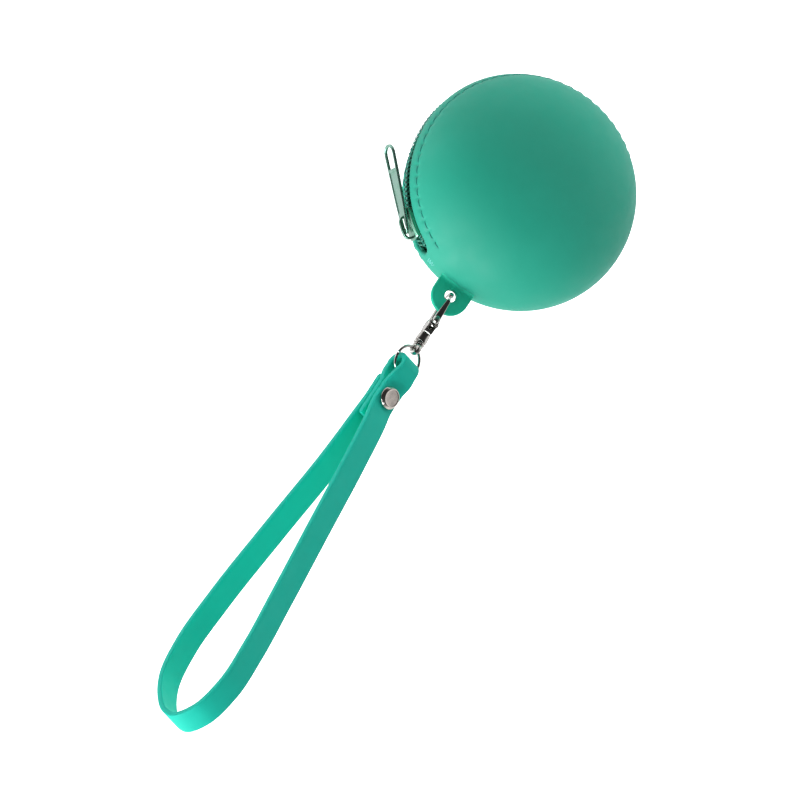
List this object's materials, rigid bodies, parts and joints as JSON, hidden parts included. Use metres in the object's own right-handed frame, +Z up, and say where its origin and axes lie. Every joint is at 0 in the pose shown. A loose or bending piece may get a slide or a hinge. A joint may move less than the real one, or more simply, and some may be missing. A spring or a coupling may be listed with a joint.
{
  "type": "zippered coin purse",
  "caption": "Ball-shaped silicone coin purse with a curved zip, a snap hook on its moulded tab and a folded silicone wrist strap on a wire ring.",
  "frame": {"origin": "inside top of the wrist strap's loop, where a wrist or a peg holds the purse", "axes": "+Z up the hanging strap, -Y the front of the ball, +X the side that the zip's slider is parked on"},
  "size_m": [0.0864, 0.066, 0.262],
  "materials": {
    "silicone": "matt moulded silicone",
    "strap_silicone": "matt moulded silicone",
    "zip_tape": "woven tape",
    "zip_coil": "nylon coil",
    "painted_slider": "satin paint on zinc",
    "nickel": "polished nickel plate",
    "spring_steel": "drawn wire",
    "rivet_nickel": "satin nickel plate"
  },
  "bodies": {
    "strap": {"wrist_strap": "strap_silicone", "rivet_cap": "rivet_nickel", "rivet_post": "rivet_nickel"},
    "ring": {"wire_ring": "nickel"},
    "swivel": {"swivel_eye": "nickel"},
    "hook": {"snap_hook_body": "nickel", "gate_pin": "nickel", "gate_spring": "spring_steel"},
    "gate": {"snap_gate": "nickel"},
    "purse": {"silicone_shell": "silicone", "zipper_tape_front": "zip_tape", "zipper_tape_back": "zip_tape", "zipper_coil_front": "zip_coil", "zipper_coil_back": "zip_coil"},
    "slider": {"slider_body": "painted_slider"},
    "pull": {"pull_tab": "painted_slider"}
  },
  "joints": [
    {"name": "ring_swing", "type": "hinge", "parent": "strap", "child": "ring", "pos_m": [0, 0, -0.144], "axis": [0.8625, -0.506, 0], "range_deg": [-30, 30]},
    {"name": "eye_swing", "type": "hinge", "parent": "ring", "child": "swivel", "pos_m": [0, 0, -0.1544], "axis": [0.8625, -0.506, 0], "range_deg": [-80, 80]},
    {"name": "swivel_spin", "type": "hinge", "parent": "swivel", "child": "hook", "pos_m": [0, 0, -0.1591], "axis": [0, 0, 1], "continuous": true},
    {"name": "gate_open", "type": "hinge", "parent": "hook", "child": "gate", "pos_m": [0, -0.003, -0.1642], "axis": [1, 0, 0], "range_deg": [0, 9], "stiffness_Nm_per_rad": 0.002, "springref_deg": -11.46, "deforming": ["gate_spring"]},
    {"name": "tab_swing", "type": "hinge", "parent": "hook", "child": "purse", "pos_m": [0, 0, -0.1769], "axis": [0, 1, 0], "range_deg": [-60, 60]},
    {"name": "slider_travel", "type": "hinge", "parent": "purse", "child": "slider", "pos_m": [0, 0, -0.2205], "axis": [0, 1, 0], "range_deg": [0, 168], "deforming": ["zipper_coil_front", "zipper_coil_back"]},
    {"name": "pull_swing", "type": "hinge", "parent": "slider", "child": "pull", "pos_m": [0.02403, 0, -0.18585], "axis": [0, -1, 0], "range_deg": [-2, 150]}
  ]
}
